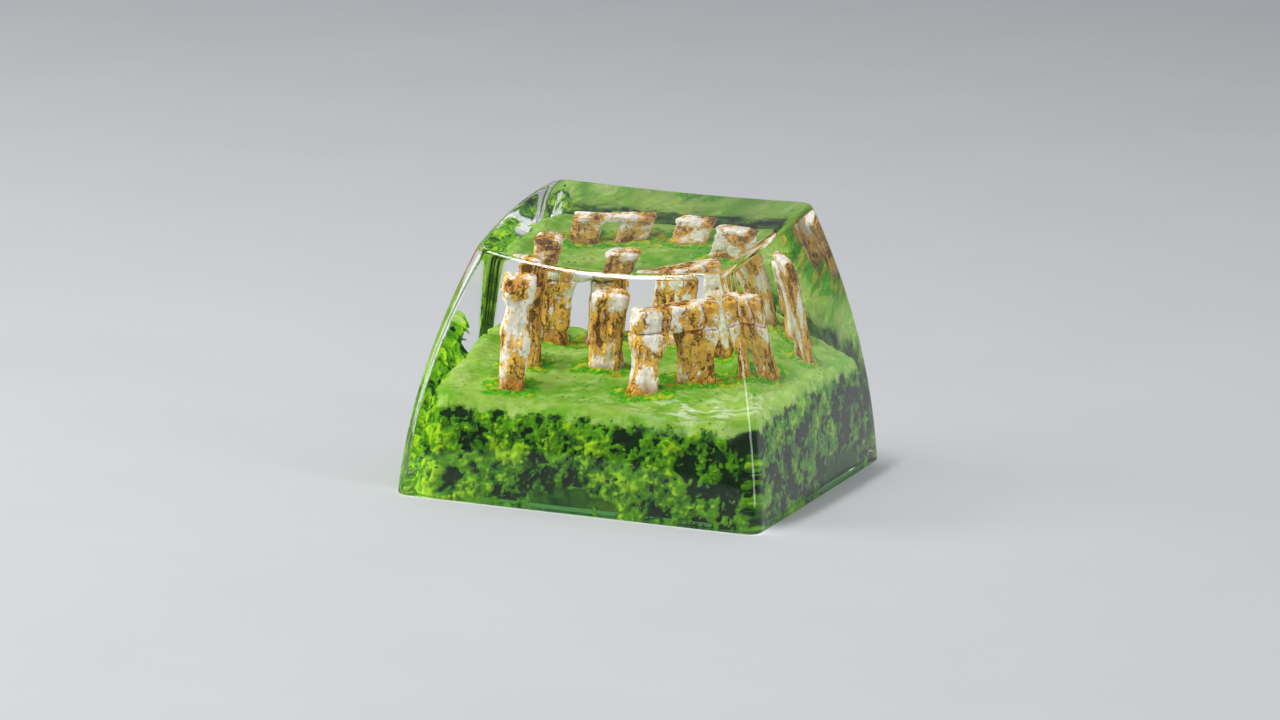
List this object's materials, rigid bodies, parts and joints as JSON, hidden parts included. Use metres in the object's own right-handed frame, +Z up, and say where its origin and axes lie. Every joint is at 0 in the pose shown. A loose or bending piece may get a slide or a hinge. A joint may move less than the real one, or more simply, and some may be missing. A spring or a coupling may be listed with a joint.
{
  "type": "artisan keycap",
  "caption": "Clear cast resin keycap with a dished, tilted top, a green moss mound and small weathered standing stones sealed inside, and a cross socket underneath for a key stem.",
  "frame": {"origin": "centre of the footprint, on the plane of the foot", "axes": "+Z up out of the dished top, +Y to the higher back edge, +X to the right as seen from the front"},
  "size_m": [0.0184, 0.0184, 0.0133],
  "materials": {
    "clear_resin": "polished, clear",
    "moss": "crumbly, pale on top and vivid at the sides",
    "base_green": "smooth",
    "stone": "rough, with rust and ochre patina"
  },
  "bodies": {
    "root": {"clear_body": "clear_resin", "moss_ground": "moss", "base_core": "base_green", "stone_front_left": "stone", "stone_left": "stone", "stone_centre": "stone", "stone_back": "stone", "stone_right": "stone", "front_lintel": "stone", "front_post_left": "stone", "front_post_right": "stone", "back_lintel": "stone", "back_post_left": "stone", "back_post_right": "stone"}
  },
  "joints": []
}
